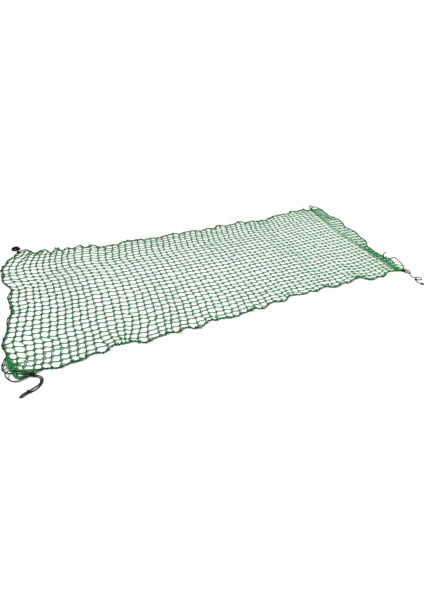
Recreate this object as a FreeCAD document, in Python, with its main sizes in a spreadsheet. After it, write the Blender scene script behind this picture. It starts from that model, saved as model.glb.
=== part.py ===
import FreeCAD, Part
import math
import os

from FreeCAD import Rotation, Vector

# A cargo climbing net lying flat on the ground: square-mesh netting of green
# twine, four lengths of dark border rope threaded through the edge meshes and
# knotted at the corners, and the rope ends left over at the corners.
# Millimetres, +Z up, X along the net, Y across it, origin under its middle.

doc = FreeCAD.newDocument("CargoNet")
sheet = doc.addObject("Spreadsheet::Sheet", "Sizes")

SIZES = {
    "twine_dia": 3.5,  # netting twine
    "rope_dia": 6.0,  # border rope and tails
    "mesh_length": 50.0,  # pitch of the crosswise twines, along X
    "mesh_width": 45.5,  # pitch of the lengthwise twines, along Y
    "twine_gap": 0.1,  # air between the two layers of twine
    "rope_height": 7.0,  # axis of the border rope above the ground
    "ring_gap": 0.3,  # air between an edge mesh and the rope in it
    "corner_knot_across": 28.0,
    "corner_knot_high": 17.0,
    "small_knot_across": 20.0,
    "small_knot_high": 14.0,
    "knot_height": 8.7,  # middle of a knot above the ground
    "coil_radius": 24.0,  # middle of the coiled tail's turns
    "coil_thick": 22.0,
}
for row, (alias, value) in enumerate(SIZES.items(), start=1):
    sheet.set(f"A{row}", alias)
    sheet.set(f"B{row}", str(value))
    sheet.setAlias(f"B{row}", alias)
doc.recompute()

CROSSWISE_TWINES = 63
LENGTHWISE_TWINES = 29
CROSSWISE_PER_NODE = 9
LENGTHWISE_PER_NODE = 6
SHORTEST_TWINE = 90.0
EDGE_MESH_EVERY = 3  # an edge mesh is made on every third run of the border rope

nodes = []


def size(alias):
    return float(sheet.get(alias))


ROPE_Z = size("rope_height")
KNOT_Z = size("knot_height")

# Middles of the knots, seen from above.
NEAR_LEFT = (-1415, -695)
NEAR_RIGHT = (1462, -689)
FAR_LEFT = (-1508, 668)
FAR_RIGHT = (1486, 606)
RIGHT_JOIN = (1468, -474)
FAR_HITCH = (1394, 610)
NEAR_LEFT_END_KNOT = (-1432, -807)
NEAR_RIGHT_SLIP_KNOT = (1455, -821)
NEAR_RIGHT_END_KNOT = (1452, -884)
FAR_RIGHT_END_KNOT = (1533, 688)
COIL_MIDDLE = (-1532, 735)

# Routes of the border rope. A point without a height lies at rope_height.
NEAR_CORNER_TURN = [
    (-1424, -685), (-1447, -669), (-1474, -653), (-1504, -637, 9), (-1527, -632, 15),
    (-1543, -647, 17), (-1541, -668, 13), (-1526, -691, 8), (-1507, -709), (-1483, -717),
    (-1459, -711), (-1438, -702), (-1415, -699), (-1392, -691),
]
NEAR_ROPE = [
    (-1366, -677), (-1335, -681), (-1300, -695), (-1264, -704), (-1238, -690),
    (-1205, -685), (-1172, -688), (-1148, -691), (-1124, -672), (-1086, -662),
    (-1052, -677), (-1020, -680), (-1000, -655), (-975, -641), (-940, -647),
    (-900, -652), (-852, -651), (-815, -668), (-796, -690), (-768, -698),
    (-742, -681), (-705, -672), (-660, -673), (-635, -658), (-605, -668),
    (-570, -684), (-538, -666), (-503, -655), (-470, -684), (-420, -694),
    (-392, -680), (-365, -659), (-330, -650), (-298, -668), (-262, -662),
    (-222, -669), (-172, -682), (-132, -683), (-104, -668), (-56, -670),
    (-16, -661), (8, -650), (34, -666), (62, -684), (94, -671),
    (127, -650), (168, -640), (212, -648), (260, -669), (288, -651),
    (308, -627), (350, -626), (400, -638), (444, -648), (480, -645),
    (512, -630), (545, -650), (580, -649), (618, -636), (660, -630),
    (694, -638), (716, -660), (745, -664), (790, -655), (832, -639),
    (862, -654), (902, -656), (944, -638), (1000, -626), (1040, -639),
    (1062, -670), (1088, -693), (1118, -695), (1150, -681), (1188, -678),
    (1214, -697), (1250, -686), (1294, -661), (1328, -651), (1368, -660),
    (1415, -668), (1451, -684),
]
FAR_ROPE = [
    (-1500, 678), (-1479, 697), (-1450, 698), (-1430, 671), (-1407, 627),
    (-1378, 602), (-1350, 625), (-1328, 646), (-1306, 649), (-1292, 632),
    (-1288, 607), (-1280, 584), (-1262, 573), (-1246, 586), (-1240, 611),
    (-1230, 632), (-1210, 636), (-1199, 619), (-1194, 597), (-1182, 580),
    (-1165, 580), (-1156, 597), (-1149, 614), (-1132, 620), (-1117, 607),
    (-1105, 590), (-1087, 586), (-1070, 600), (-1052, 618), (-1032, 624),
    (-1015, 609), (-1003, 584), (-986, 569), (-966, 574), (-948, 593),
    (-923, 598), (-905, 572), (-886, 541), (-850, 529), (-815, 535),
    (-770, 545), (-727, 527), (-698, 535), (-683, 563), (-662, 571),
    (-642, 561), (-622, 568), (-600, 567), (-582, 551), (-560, 552),
    (-537, 569), (-500, 551), (-470, 539), (-440, 551), (-398, 545),
    (-350, 529), (-315, 533), (-287, 552), (-250, 550), (-218, 557),
    (-183, 568), (-159, 556), (-142, 538), (-118, 539), (-90, 556),
    (-55, 558), (-20, 554), (8, 566), (34, 556), (58, 534),
    (100, 528), (133, 553), (172, 560), (198, 547), (226, 534),
    (254, 555), (274, 582), (296, 589), (313, 574), (337, 558),
    (360, 537), (384, 540), (407, 561), (458, 556), (492, 572),
    (530, 597), (555, 582), (580, 551), (616, 540), (655, 560),
    (688, 566), (713, 534), (748, 527), (776, 541), (801, 533),
    (829, 523), (864, 555), (908, 558), (935, 577), (966, 594),
    (1000, 586), (1030, 592), (1056, 606), (1080, 590), (1117, 600),
    (1158, 589), (1182, 606), (1207, 628), (1246, 623), (1269, 600),
    (1300, 615), (1333, 618), (1365, 634), (1394, 610), (1420, 588),
    (1454, 588), (1475, 598),
]
LEFT_ROPE = [
    (-1519, 659), (-1533, 638), (-1537, 611), (-1549, 590), (-1574, 578),
    (-1588, 553), (-1588, 522), (-1599, 496), (-1613, 469), (-1619, 437),
    (-1617, 402), (-1603, 377), (-1600, 348), (-1611, 312), (-1606, 270),
    (-1590, 232), (-1563, 193), (-1543, 152), (-1543, 112), (-1562, 78),
    (-1562, 37), (-1548, -13), (-1538, -70), (-1531, -125), (-1546, -158),
    (-1558, -195), (-1549, -250), (-1552, -302), (-1561, -345), (-1572, -390),
    (-1570, -432), (-1552, -470), (-1542, -508), (-1559, -543), (-1566, -586),
    (-1557, -618), (-1538, -640), (-1508, -652), (-1480, -664), (-1453, -680),
    (-1427, -690),
]
RIGHT_ROPE = [
    (1493, 618), (1514, 645), (1546, 658), (1576, 647), (1590, 615),
    (1587, 576), (1595, 540), (1586, 496), (1571, 445), (1567, 402),
    (1585, 368), (1602, 325), (1614, 280), (1603, 233), (1576, 180),
    (1552, 128), (1560, 78), (1581, 30), (1575, -25), (1552, -78),
    (1543, -122), (1550, -165), (1530, -203), (1496, -229), (1478, -262),
    (1478, -305), (1470, -350), (1470, -390), (1479, -422), (1472, -450),
    (1468, -474), (1483, -499), (1512, -510), (1543, -500), (1566, -500),
    (1575, -518), (1565, -540), (1554, -562), (1553, -590), (1538, -620),
    (1518, -648),
    (1497, -667), (1475, -681),
]

# Routes of the free rope ends, along the ground from their knots.
NEAR_LEFT_TAIL_OUTER = [
    (-1403, -705, 5), (-1390, -710, 3.4), (-1374, -721, 3.2), (-1364, -740, 3.2),
    (-1364, -762, 3.2), (-1374, -783, 3.2), (-1390, -798, 3.2), (-1410, -809, 3.2),
    (-1432, -811, 6), (-1450, -818, 3.4), (-1465, -828, 3.2),
]
NEAR_LEFT_TAIL_INNER = [
    (-1410, -711, 5), (-1396, -717, 3.4), (-1382, -726, 3.2), (-1373, -742, 3.2),
    (-1373, -760, 3.2), (-1381, -775, 3.2), (-1395, -783, 3.2), (-1413, -790, 3.2),
    (-1432, -803, 6), (-1449, -803, 3.4), (-1465, -811, 3.2), (-1474, -826, 3.2),
]
NEAR_RIGHT_TAIL = [
    (1463, -705, 5), (1467, -722, 3.2), (1480, -736, 3.2), (1500, -735, 3.2),
    (1518, -719, 3.2), (1521, -697, 3.2), (1507, -681, 3.6), (1488, -684, 6),
    (1478, -702, 10), (1479, -723, 14), (1476, -743, 14), (1466, -759, 9),
    (1460, -776, 4.5), (1469, -792, 3.2), (1487, -798, 3.2), (1507, -800, 3.2),
    (1523, -811, 3.2), (1522, -830, 3.2), (1506, -840, 3.2), (1486, -836, 4),
    (1466, -824, 6), (1448, -831, 3.4), (1440, -848, 3.2), (1444, -869, 5),
    (1457, -890, 5), (1475, -894, 3.2), (1495, -884, 3.2), (1514, -874, 3.2),
]
FAR_LEFT_LEAD = [
    (-1513, 682, 5), (-1516, 691, 5), (-1521, 703, 7), (-1529, 711, 10),
]
FAR_RIGHT_TAIL = [
    (1482, 620, 5), (1484, 638, 3.2), (1494, 656, 3.2), (1510, 670, 3.4), (1529, 681, 5),
]
FAR_SPARE_END = [
    (1398, 623, 5), (1403, 642, 3.2), (1412, 663, 3.2), (1425, 684, 3.2),
]
JOIN_END_LONG = [
    (1480, -464, 5), (1496, -446, 3.2), (1517, -425, 3.2), (1543, -409, 3.2), (1572, -401, 3.2),
]
JOIN_END_SHORT = [
    (1484, -474, 5), (1503, -471, 3.2), (1522, -461, 3.2),
]


def route(points):
    """The route's points as vectors, at the border rope's height unless they state one."""
    return [Vector(*p) if len(p) == 3 else Vector(p[0], p[1], ROPE_Z) for p in points]


def rope_path(name, points):
    """Straight runs joined by tangent arcs, each as large as its two runs allow."""
    edges = []
    start = points[0]
    tightest = None
    for before, corner, after in zip(points, points[1:], points[2:]):
        run_in = corner - before
        run_out = after - corner
        turn = run_in.getAngle(run_out)
        reach = 0.45 * min(run_in.Length, run_out.Length)
        radius = reach / math.tan(turn / 2)
        tightest = radius if tightest is None else min(tightest, radius)
        to_start = (before - corner).normalize()
        to_end = (after - corner).normalize()
        bisector = (to_start + to_end).normalize()
        arc_start = corner + to_start * reach
        arc_end = corner + to_end * reach
        centre = corner + bisector * (radius / math.cos(turn / 2))
        middle = centre - bisector * radius
        edges.append(Part.LineSegment(start, arc_start).toShape())
        edges.append(Part.Arc(arc_start, middle, arc_end).toShape())
        start = arc_end
    edges.append(Part.LineSegment(start, points[-1]).toShape())
    path = Part.Wire(edges)
    print(f"{name}: length {path.Length:.0f} mm, tightest radius {tightest:.1f} mm")
    return path


def rope(name, points):
    """One length of rope, swept along its route."""
    path = rope_path(name, route(points))
    first = path.Edges[0]
    start = first.firstVertex().Point
    heading = first.lastVertex().Point - start
    circle = Part.Circle(start, heading, size("rope_dia") / 2).toShape()
    solid = path.makePipeShell([Part.Wire([circle])], True, False)
    piece = doc.addObject("Part::Feature", name)
    piece.Label = name
    piece.Shape = solid
    expected = math.pi * size("rope_dia") ** 2 / 4 * path.Length
    print(f"{name}: volume over section times length {solid.Volume / expected:.4f}")
    nodes.append(piece)
    return path


def group(name, pieces):
    """Identical pieces that share a node, each a solid of its own."""
    bundle = doc.addObject("Part::Compound", name)
    bundle.Label = name
    bundle.Links = pieces
    nodes.append(bundle)


def knot(name, middle, kind):
    """The outer shape of a tightened knot."""
    lump = doc.addObject("Part::Ellipsoid", name)
    lump.Label = name
    lump.setExpression("Radius1", f"Sizes.{kind}_knot_high / 2")
    lump.setExpression("Radius2", f"Sizes.{kind}_knot_across / 2")
    lump.setExpression("Radius3", f"Sizes.{kind}_knot_across / 2")
    lump.Placement.Base = Vector(middle[0], middle[1], KNOT_Z)
    nodes.append(lump)


def edge_meshes(name, points):
    """The edge meshes that go round the border rope, one ring on every third run."""
    rings = []
    places = route(points)
    for index in range(1, len(places) - 2, EDGE_MESH_EVERY):
        along = places[index + 1] - places[index]
        ring = doc.addObject("Part::Torus", f"{name}_{index}")
        ring.setExpression("Radius1", "(Sizes.rope_dia + Sizes.twine_dia) / 2 + Sizes.ring_gap")
        ring.setExpression("Radius2", "Sizes.twine_dia / 2")
        ring.Placement = FreeCAD.Placement(
            (places[index] + places[index + 1]) / 2, Rotation(Vector(0, 0, 1), along)
        )
        rings.append(ring)
    group(name, rings)


def crossings(outline, level, along):
    """Where the closed outline crosses a line of the netting."""
    across = 1 - along
    found = []
    for here, there in zip(outline, outline[1:] + outline[:1]):
        if (here[across] < level) != (there[across] < level):
            share = (level - here[across]) / (there[across] - here[across])
            found.append(here[along] + share * (there[along] - here[along]))
    return sorted(found)


def clear_spans(outline, obstacles, level, along):
    """The stretches of a line of the netting that lie inside the border, clear of rope and knots."""
    across = 1 - along
    blocked = []
    for point, keep_off in obstacles:
        offset = abs(point[across] - level)
        if offset < keep_off:
            reach = math.sqrt(keep_off ** 2 - offset ** 2)
            blocked.append((point[along] - reach, point[along] + reach))
    blocked.sort()
    spans = []
    ends = crossings(outline, level, along)
    for low, high in zip(ends[0::2], ends[1::2]):
        cursor = low
        for start, end in blocked + [(high, high)]:
            if end < cursor or start > high:
                continue
            if start - cursor > SHORTEST_TWINE:
                spans.append((cursor, start))
            cursor = max(cursor, end)
    return spans


def twine(name, start, end, level, along):
    """One straight twine of the netting, lengthwise below and crosswise above."""
    strand = doc.addObject("Part::Cylinder", name)
    strand.setExpression("Radius", "Sizes.twine_dia / 2")
    strand.Height = end - start
    if along == 0:
        strand.Placement = FreeCAD.Placement(
            Vector(start, level, 0), Rotation(Vector(0, 1, 0), 90)
        )
        strand.setExpression("Placement.Base.z", "Sizes.twine_dia / 2")
    else:
        strand.Placement = FreeCAD.Placement(
            Vector(level, start, 0), Rotation(Vector(1, 0, 0), -90)
        )
        strand.setExpression("Placement.Base.z", "Sizes.twine_dia * 1.5 + Sizes.twine_gap")
    return strand


def netting(name, count, per_node, pitch, along, outline, obstacles):
    """All the twines that run one way, in nodes of neighbouring twines."""
    strands = []
    for index in range(count):
        level = (index - (count - 1) / 2) * pitch
        for start, end in clear_spans(outline, obstacles, level, along):
            strands.append(twine(f"{name}_line_{index}", start, end, level, along))
        if (index + 1) % per_node == 0 or index == count - 1:
            group(f"{name}_{index // per_node + 1}", strands)
            strands = []


# Border rope
near_points = NEAR_CORNER_TURN + NEAR_ROPE
paths = [
    rope("near_edge_rope", near_points),
    rope("far_edge_rope", FAR_ROPE),
    rope("left_edge_rope", LEFT_ROPE),
    rope("right_edge_rope", RIGHT_ROPE),
]
edge_meshes("near_edge_meshes", NEAR_ROPE)
edge_meshes("far_edge_meshes", FAR_ROPE)
edge_meshes("left_edge_meshes", LEFT_ROPE[:-3])
edge_meshes("right_edge_meshes", RIGHT_ROPE)

# Netting
border = [(p[0], p[1]) for p in NEAR_ROPE + RIGHT_ROPE[::-1] + FAR_ROPE[::-1] + LEFT_ROPE]
rope_keep_off = size("rope_dia") / 2 + size("twine_dia") * 1.5 + size("ring_gap") + 0.2
knot_keep_off = (size("corner_knot_across") + size("twine_dia")) / 2 + 0.5
obstacles = [
    ((p.x, p.y), rope_keep_off) for path in paths for p in path.discretize(Distance=2.0)
]
obstacles += [(middle, knot_keep_off) for middle in (NEAR_LEFT, NEAR_RIGHT, FAR_LEFT, FAR_RIGHT)]
netting(
    "crosswise_twines", CROSSWISE_TWINES, CROSSWISE_PER_NODE, size("mesh_length"), 1,
    border, obstacles,
)
netting(
    "lengthwise_twines", LENGTHWISE_TWINES, LENGTHWISE_PER_NODE, size("mesh_width"), 0,
    border, obstacles,
)

# Knots that join the border rope
knot("near_left_knot", NEAR_LEFT, "corner")
knot("near_right_knot", NEAR_RIGHT, "corner")
knot("far_left_knot", FAR_LEFT, "corner")
knot("far_right_knot", FAR_RIGHT, "corner")
knot("right_join_knot", RIGHT_JOIN, "small")
knot("far_edge_hitch", FAR_HITCH, "small")

# Rope ends left over at the knots
rope("near_left_tail_outer", NEAR_LEFT_TAIL_OUTER)
rope("near_left_tail_inner", NEAR_LEFT_TAIL_INNER)
knot("near_left_tail_knot", NEAR_LEFT_END_KNOT, "small")
rope("near_right_tail", NEAR_RIGHT_TAIL)
knot("near_right_slip_knot", NEAR_RIGHT_SLIP_KNOT, "small")
knot("near_right_end_knot", NEAR_RIGHT_END_KNOT, "small")
rope("far_left_tail", FAR_LEFT_LEAD)
rope("far_right_tail", FAR_RIGHT_TAIL)
knot("far_right_tail_knot", FAR_RIGHT_END_KNOT, "small")
rope("far_edge_spare_end", FAR_SPARE_END)
rope("join_end_long", JOIN_END_LONG)
rope("join_end_short", JOIN_END_SHORT)

# The far-left tail's spare length, wound into a small coil
coil = doc.addObject("Part::Torus", "far_left_coil")
coil.Label = "far_left_coil"
coil.setExpression("Radius1", "Sizes.coil_radius")
coil.setExpression("Radius2", "Sizes.coil_thick / 2")
coil.Placement.Base = Vector(COIL_MIDDLE[0], COIL_MIDDLE[1], 0)
coil.setExpression("Placement.Base.z", "Sizes.coil_thick / 2 + 0.1")
nodes.append(coil)

doc.recompute()

for item in doc.Objects:
    if "Invalid" in item.State or "Error" in item.State:
        raise RuntimeError(f"{item.Name} failed: {item.State}")
for node in nodes:
    if node.Shape.isNull() or not node.Shape.isValid() or not node.Shape.Solids:
        raise RuntimeError(f"{node.Label} has no sound shape")

os.makedirs("parts", exist_ok=True)
for node in nodes:
    node.Shape.exportStep(f"parts/{node.Label}.step")

whole = FreeCAD.BoundBox()
for node in nodes:
    whole.add(node.Shape.BoundBox)
    print(f"{node.Label}: {len(node.Shape.Solids)} solids, {node.Shape.Volume / 1000:.1f} cm3")
print(f"{len(nodes)} nodes, box {whole}")
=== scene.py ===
"""A cargo climbing net that lies flat: knotted twine netting, a laid border rope laced
through its edge meshes, knotted corners and the loose rope ends."""

import math

import bpy
import numpy as np
from mathutils import Matrix, Vector


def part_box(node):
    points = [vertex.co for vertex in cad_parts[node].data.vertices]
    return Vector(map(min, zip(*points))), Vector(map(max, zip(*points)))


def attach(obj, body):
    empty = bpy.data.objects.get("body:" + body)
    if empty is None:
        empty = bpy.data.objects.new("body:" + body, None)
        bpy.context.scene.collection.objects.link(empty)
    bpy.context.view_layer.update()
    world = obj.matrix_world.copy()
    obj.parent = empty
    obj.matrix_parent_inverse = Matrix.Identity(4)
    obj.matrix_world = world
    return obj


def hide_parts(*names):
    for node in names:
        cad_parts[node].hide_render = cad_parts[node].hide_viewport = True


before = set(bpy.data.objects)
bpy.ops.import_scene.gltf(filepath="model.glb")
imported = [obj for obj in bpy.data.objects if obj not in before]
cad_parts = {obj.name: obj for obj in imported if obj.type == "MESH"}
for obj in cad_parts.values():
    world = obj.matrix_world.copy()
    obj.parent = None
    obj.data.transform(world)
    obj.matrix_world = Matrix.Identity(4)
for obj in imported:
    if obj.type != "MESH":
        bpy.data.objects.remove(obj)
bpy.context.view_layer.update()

bl_info = {
    "name": "Cargo climbing net",
    "version": (1, 0, 0),
    "blender": (4, 5, 0),
    "location": "View3D > Sidebar > Net",
    "description": "Builds a cargo climbing net: netting, border rope, knots and rope ends",
    "category": "Add Mesh",
}

UP = np.array((0.0, 0.0, 1.0))
MM = 0.001

# Netting
COLUMNS = 63
ROWS = 30
BANDS = 7
COLUMNS_PER_BAND = 9

# Routes of the border rope. A point without a height lies at ROPE_HEIGHT.
ROPE_HEIGHT = 0.007
LAID = 0.0032  # height of a rope end's axis where it lies on the ground
NEAR_CORNER_TURN = [
    (-1.424, -0.685), (-1.447, -0.669), (-1.474, -0.653), (-1.504, -0.637, 0.009),
    (-1.527, -0.632, 0.015), (-1.543, -0.647, 0.017), (-1.541, -0.668, 0.013),
    (-1.526, -0.691, 0.008), (-1.507, -0.709), (-1.483, -0.717), (-1.459, -0.711), (-1.438, -0.702),
    (-1.415, -0.699), (-1.392, -0.691),
]
NEAR_ROPE = [
    (-1.366, -0.677), (-1.335, -0.681), (-1.3, -0.695), (-1.264, -0.704), (-1.238, -0.69),
    (-1.205, -0.685), (-1.172, -0.688), (-1.148, -0.691), (-1.124, -0.672), (-1.086, -0.662),
    (-1.052, -0.677), (-1.02, -0.68), (-1.0, -0.655), (-0.975, -0.641), (-0.94, -0.647),
    (-0.9, -0.652), (-0.852, -0.651), (-0.815, -0.668), (-0.796, -0.69), (-0.768, -0.698),
    (-0.742, -0.681), (-0.705, -0.672), (-0.66, -0.673), (-0.635, -0.658), (-0.605, -0.668),
    (-0.57, -0.684), (-0.538, -0.666), (-0.503, -0.655), (-0.47, -0.684), (-0.42, -0.694),
    (-0.392, -0.68), (-0.365, -0.659), (-0.33, -0.65), (-0.298, -0.668), (-0.262, -0.662),
    (-0.222, -0.669), (-0.172, -0.682), (-0.132, -0.683), (-0.104, -0.668), (-0.056, -0.67),
    (-0.016, -0.661), (0.008, -0.65), (0.034, -0.666), (0.062, -0.684), (0.094, -0.671),
    (0.127, -0.65), (0.168, -0.64), (0.212, -0.648), (0.26, -0.669), (0.288, -0.651),
    (0.308, -0.627), (0.35, -0.626), (0.4, -0.638), (0.444, -0.648), (0.48, -0.645), (0.512, -0.63),
    (0.545, -0.65), (0.58, -0.649), (0.618, -0.636), (0.66, -0.63), (0.694, -0.638), (0.716, -0.66),
    (0.745, -0.664), (0.79, -0.655), (0.832, -0.639), (0.862, -0.654), (0.902, -0.656),
    (0.944, -0.638), (1.0, -0.626), (1.04, -0.639), (1.062, -0.67), (1.088, -0.693),
    (1.118, -0.695), (1.15, -0.681), (1.188, -0.678), (1.214, -0.697), (1.25, -0.686),
    (1.294, -0.661), (1.328, -0.651), (1.368, -0.66), (1.415, -0.668), (1.451, -0.684),
]
FAR_ROPE = [
    (-1.5, 0.678), (-1.479, 0.697), (-1.45, 0.698), (-1.43, 0.671), (-1.407, 0.627),
    (-1.378, 0.602), (-1.35, 0.625), (-1.328, 0.646), (-1.306, 0.649), (-1.292, 0.632),
    (-1.288, 0.607), (-1.28, 0.584), (-1.262, 0.573), (-1.246, 0.586), (-1.24, 0.611),
    (-1.23, 0.632), (-1.21, 0.636), (-1.199, 0.619), (-1.194, 0.597), (-1.182, 0.58),
    (-1.165, 0.58), (-1.156, 0.597), (-1.149, 0.614), (-1.132, 0.62), (-1.117, 0.607),
    (-1.105, 0.59), (-1.087, 0.586), (-1.07, 0.6), (-1.052, 0.618), (-1.032, 0.624),
    (-1.015, 0.609), (-1.003, 0.584), (-0.986, 0.569), (-0.966, 0.574), (-0.948, 0.593),
    (-0.923, 0.598), (-0.905, 0.572), (-0.886, 0.541), (-0.85, 0.529), (-0.815, 0.535),
    (-0.77, 0.545), (-0.727, 0.527), (-0.698, 0.535), (-0.683, 0.563), (-0.662, 0.571),
    (-0.642, 0.561), (-0.622, 0.568), (-0.6, 0.567), (-0.582, 0.551), (-0.56, 0.552),
    (-0.537, 0.569), (-0.5, 0.551), (-0.47, 0.539), (-0.44, 0.551), (-0.398, 0.545), (-0.35, 0.529),
    (-0.315, 0.533), (-0.287, 0.552), (-0.25, 0.55), (-0.218, 0.557), (-0.183, 0.568),
    (-0.159, 0.556), (-0.142, 0.538), (-0.118, 0.539), (-0.09, 0.556), (-0.055, 0.558),
    (-0.02, 0.554), (0.008, 0.566), (0.034, 0.556), (0.058, 0.534), (0.1, 0.528), (0.133, 0.553),
    (0.172, 0.56), (0.198, 0.547), (0.226, 0.534), (0.254, 0.555), (0.274, 0.582), (0.296, 0.589),
    (0.313, 0.574), (0.337, 0.558), (0.36, 0.537), (0.384, 0.54), (0.407, 0.561), (0.458, 0.556),
    (0.492, 0.572), (0.53, 0.597), (0.555, 0.582), (0.58, 0.551), (0.616, 0.54), (0.655, 0.56),
    (0.688, 0.566), (0.713, 0.534), (0.748, 0.527), (0.776, 0.541), (0.801, 0.533), (0.829, 0.523),
    (0.864, 0.555), (0.908, 0.558), (0.935, 0.577), (0.966, 0.594), (1.0, 0.586), (1.03, 0.592),
    (1.056, 0.606), (1.08, 0.59), (1.117, 0.6), (1.158, 0.589), (1.182, 0.606), (1.207, 0.628),
    (1.246, 0.623), (1.269, 0.6), (1.3, 0.615), (1.333, 0.618), (1.365, 0.634), (1.394, 0.61),
    (1.42, 0.588), (1.454, 0.588), (1.475, 0.598),
]
LEFT_ROPE = [
    (-1.519, 0.659), (-1.533, 0.638), (-1.537, 0.611), (-1.549, 0.59), (-1.574, 0.578),
    (-1.588, 0.553), (-1.588, 0.522), (-1.599, 0.496), (-1.613, 0.469), (-1.619, 0.437),
    (-1.617, 0.402), (-1.603, 0.377), (-1.6, 0.348), (-1.611, 0.312), (-1.606, 0.27),
    (-1.59, 0.232), (-1.563, 0.193), (-1.543, 0.152), (-1.543, 0.112), (-1.562, 0.078),
    (-1.562, 0.037), (-1.548, -0.013), (-1.538, -0.07), (-1.531, -0.125), (-1.546, -0.158),
    (-1.558, -0.195), (-1.549, -0.25), (-1.552, -0.302), (-1.561, -0.345), (-1.572, -0.39),
    (-1.57, -0.432), (-1.552, -0.47), (-1.542, -0.508), (-1.559, -0.543), (-1.566, -0.586),
    (-1.557, -0.618), (-1.538, -0.64), (-1.508, -0.652), (-1.48, -0.664), (-1.453, -0.68),
    (-1.427, -0.69),
]
RIGHT_ROPE = [
    (1.493, 0.618), (1.514, 0.645), (1.546, 0.658), (1.576, 0.647), (1.59, 0.615), (1.587, 0.576),
    (1.595, 0.54), (1.586, 0.496), (1.571, 0.445), (1.567, 0.402), (1.585, 0.368), (1.602, 0.325),
    (1.614, 0.28), (1.603, 0.233), (1.576, 0.18), (1.552, 0.128), (1.56, 0.078), (1.581, 0.03),
    (1.575, -0.025), (1.552, -0.078), (1.543, -0.122), (1.55, -0.165), (1.53, -0.203),
    (1.496, -0.229), (1.478, -0.262), (1.478, -0.305), (1.47, -0.35), (1.47, -0.39),
    (1.479, -0.422), (1.472, -0.45), (1.468, -0.474), (1.483, -0.499), (1.512, -0.51),
    (1.543, -0.5), (1.566, -0.5), (1.575, -0.518), (1.565, -0.54), (1.554, -0.562), (1.553, -0.59),
    (1.538, -0.62), (1.518, -0.648), (1.497, -0.667), (1.475, -0.681),
]
NEAR_LEFT_TAIL_OUTER = [
    (-1.403, -0.705, 0.005), (-1.39, -0.71, 0.0034), (-1.374, -0.721, LAID),
    (-1.364, -0.74, LAID), (-1.364, -0.762, LAID), (-1.374, -0.783, LAID),
    (-1.39, -0.798, LAID), (-1.41, -0.809, LAID), (-1.432, -0.811, 0.006),
    (-1.45, -0.818, 0.0034), (-1.465, -0.828, LAID),
]
NEAR_LEFT_TAIL_INNER = [
    (-1.41, -0.711, 0.005), (-1.396, -0.717, 0.0034), (-1.382, -0.726, LAID),
    (-1.373, -0.742, LAID), (-1.373, -0.76, LAID), (-1.381, -0.775, LAID),
    (-1.395, -0.783, LAID), (-1.413, -0.79, LAID), (-1.432, -0.803, 0.006),
    (-1.449, -0.803, 0.0034), (-1.465, -0.811, LAID), (-1.474, -0.826, LAID),
]
NEAR_RIGHT_TAIL = [
    (1.463, -0.705, 0.005), (1.467, -0.722, LAID), (1.48, -0.736, LAID), (1.5, -0.735, LAID),
    (1.518, -0.719, LAID), (1.521, -0.697, LAID), (1.507, -0.681, 0.0036),
    (1.488, -0.684, 0.006), (1.478, -0.702, 0.01), (1.479, -0.723, 0.014), (1.476, -0.743, 0.014),
    (1.466, -0.759, 0.009), (1.46, -0.776, 0.0045), (1.469, -0.792, LAID),
    (1.487, -0.798, LAID), (1.507, -0.8, LAID), (1.523, -0.811, LAID), (1.522, -0.83, LAID),
    (1.506, -0.84, LAID), (1.486, -0.836, 0.004), (1.466, -0.824, 0.006), (1.448, -0.831, 0.0034),
    (1.44, -0.848, LAID), (1.444, -0.869, 0.005), (1.457, -0.89, 0.005), (1.475, -0.894, LAID),
    (1.495, -0.884, LAID), (1.514, -0.874, LAID),
]
FAR_LEFT_LEAD = [
    (-1.513, 0.682, 0.005), (-1.516, 0.691, 0.005), (-1.521, 0.703, 0.007), (-1.529, 0.711, 0.01),
]
FAR_RIGHT_TAIL = [
    (1.482, 0.62, 0.005), (1.484, 0.638, LAID), (1.494, 0.656, LAID), (1.51, 0.67, 0.0034),
    (1.529, 0.681, 0.005),
]
FAR_SPARE_END = [
    (1.398, 0.623, 0.005), (1.403, 0.642, LAID), (1.412, 0.663, LAID), (1.425, 0.684, LAID),
]
JOIN_END_LONG = [
    (1.48, -0.464, 0.005), (1.496, -0.446, LAID), (1.517, -0.425, LAID),
    (1.543, -0.409, LAID), (1.572, -0.401, LAID),
]
JOIN_END_SHORT = [
    (1.484, -0.474, 0.005), (1.503, -0.471, LAID), (1.522, -0.461, LAID),
]

# The netting's own outline where it leaves the rope, at the corners
NEAR_LEFT_OUTLINE = [(-1.56, -0.640), (-1.500, -0.648), (-1.455, -0.668), (-1.415, -0.690)]
LEFT_HIGH_OUTLINE = [(-1.535, 0.595), (-1.513, 0.635), (-1.492, 0.680)]
FAR_LEFT_OUTLINE = [(-1.530, 0.648), (-1.475, 0.664), (-1.440, 0.684)]
LEFT_LOW_OUTLINE = [
    (-1.478, -0.71), (-1.488, -0.68), (-1.508, -0.63), (-1.526, -0.57), (-1.536, -0.52),
]
RIGHT_LOW_OUTLINE = [(1.452, -0.70), (1.468, -0.64), (1.496, -0.57), (1.492, -0.52), (1.474, -0.48)]
RIGHT_HIGH_OUTLINE = [(1.572, 0.56), (1.566, 0.60), (1.552, 0.66)]

# The netting before it strays: where its first crosswise line lies, its narrow spaces at the
# left end, the crosswise line at the ridge of the folded band at the right end, the levels of
# its long edges, and where the ridge lies at some levels
FIRST_LINE = -1.535
NARROW_SPACES = 11
NARROW_SPACE = 0.0465
RIDGE_COLUMN = 57
RIDGE_MIDDLE = 1.40
NEAR_LEVEL = -0.665
FAR_LEVEL = 0.560
RIDGE_LEVELS = (-0.68, -0.30, 0.05, 0.45, 0.60)
RIDGE_PLACES = (1.395, 1.385, 1.380, 1.415, 1.435)

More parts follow.
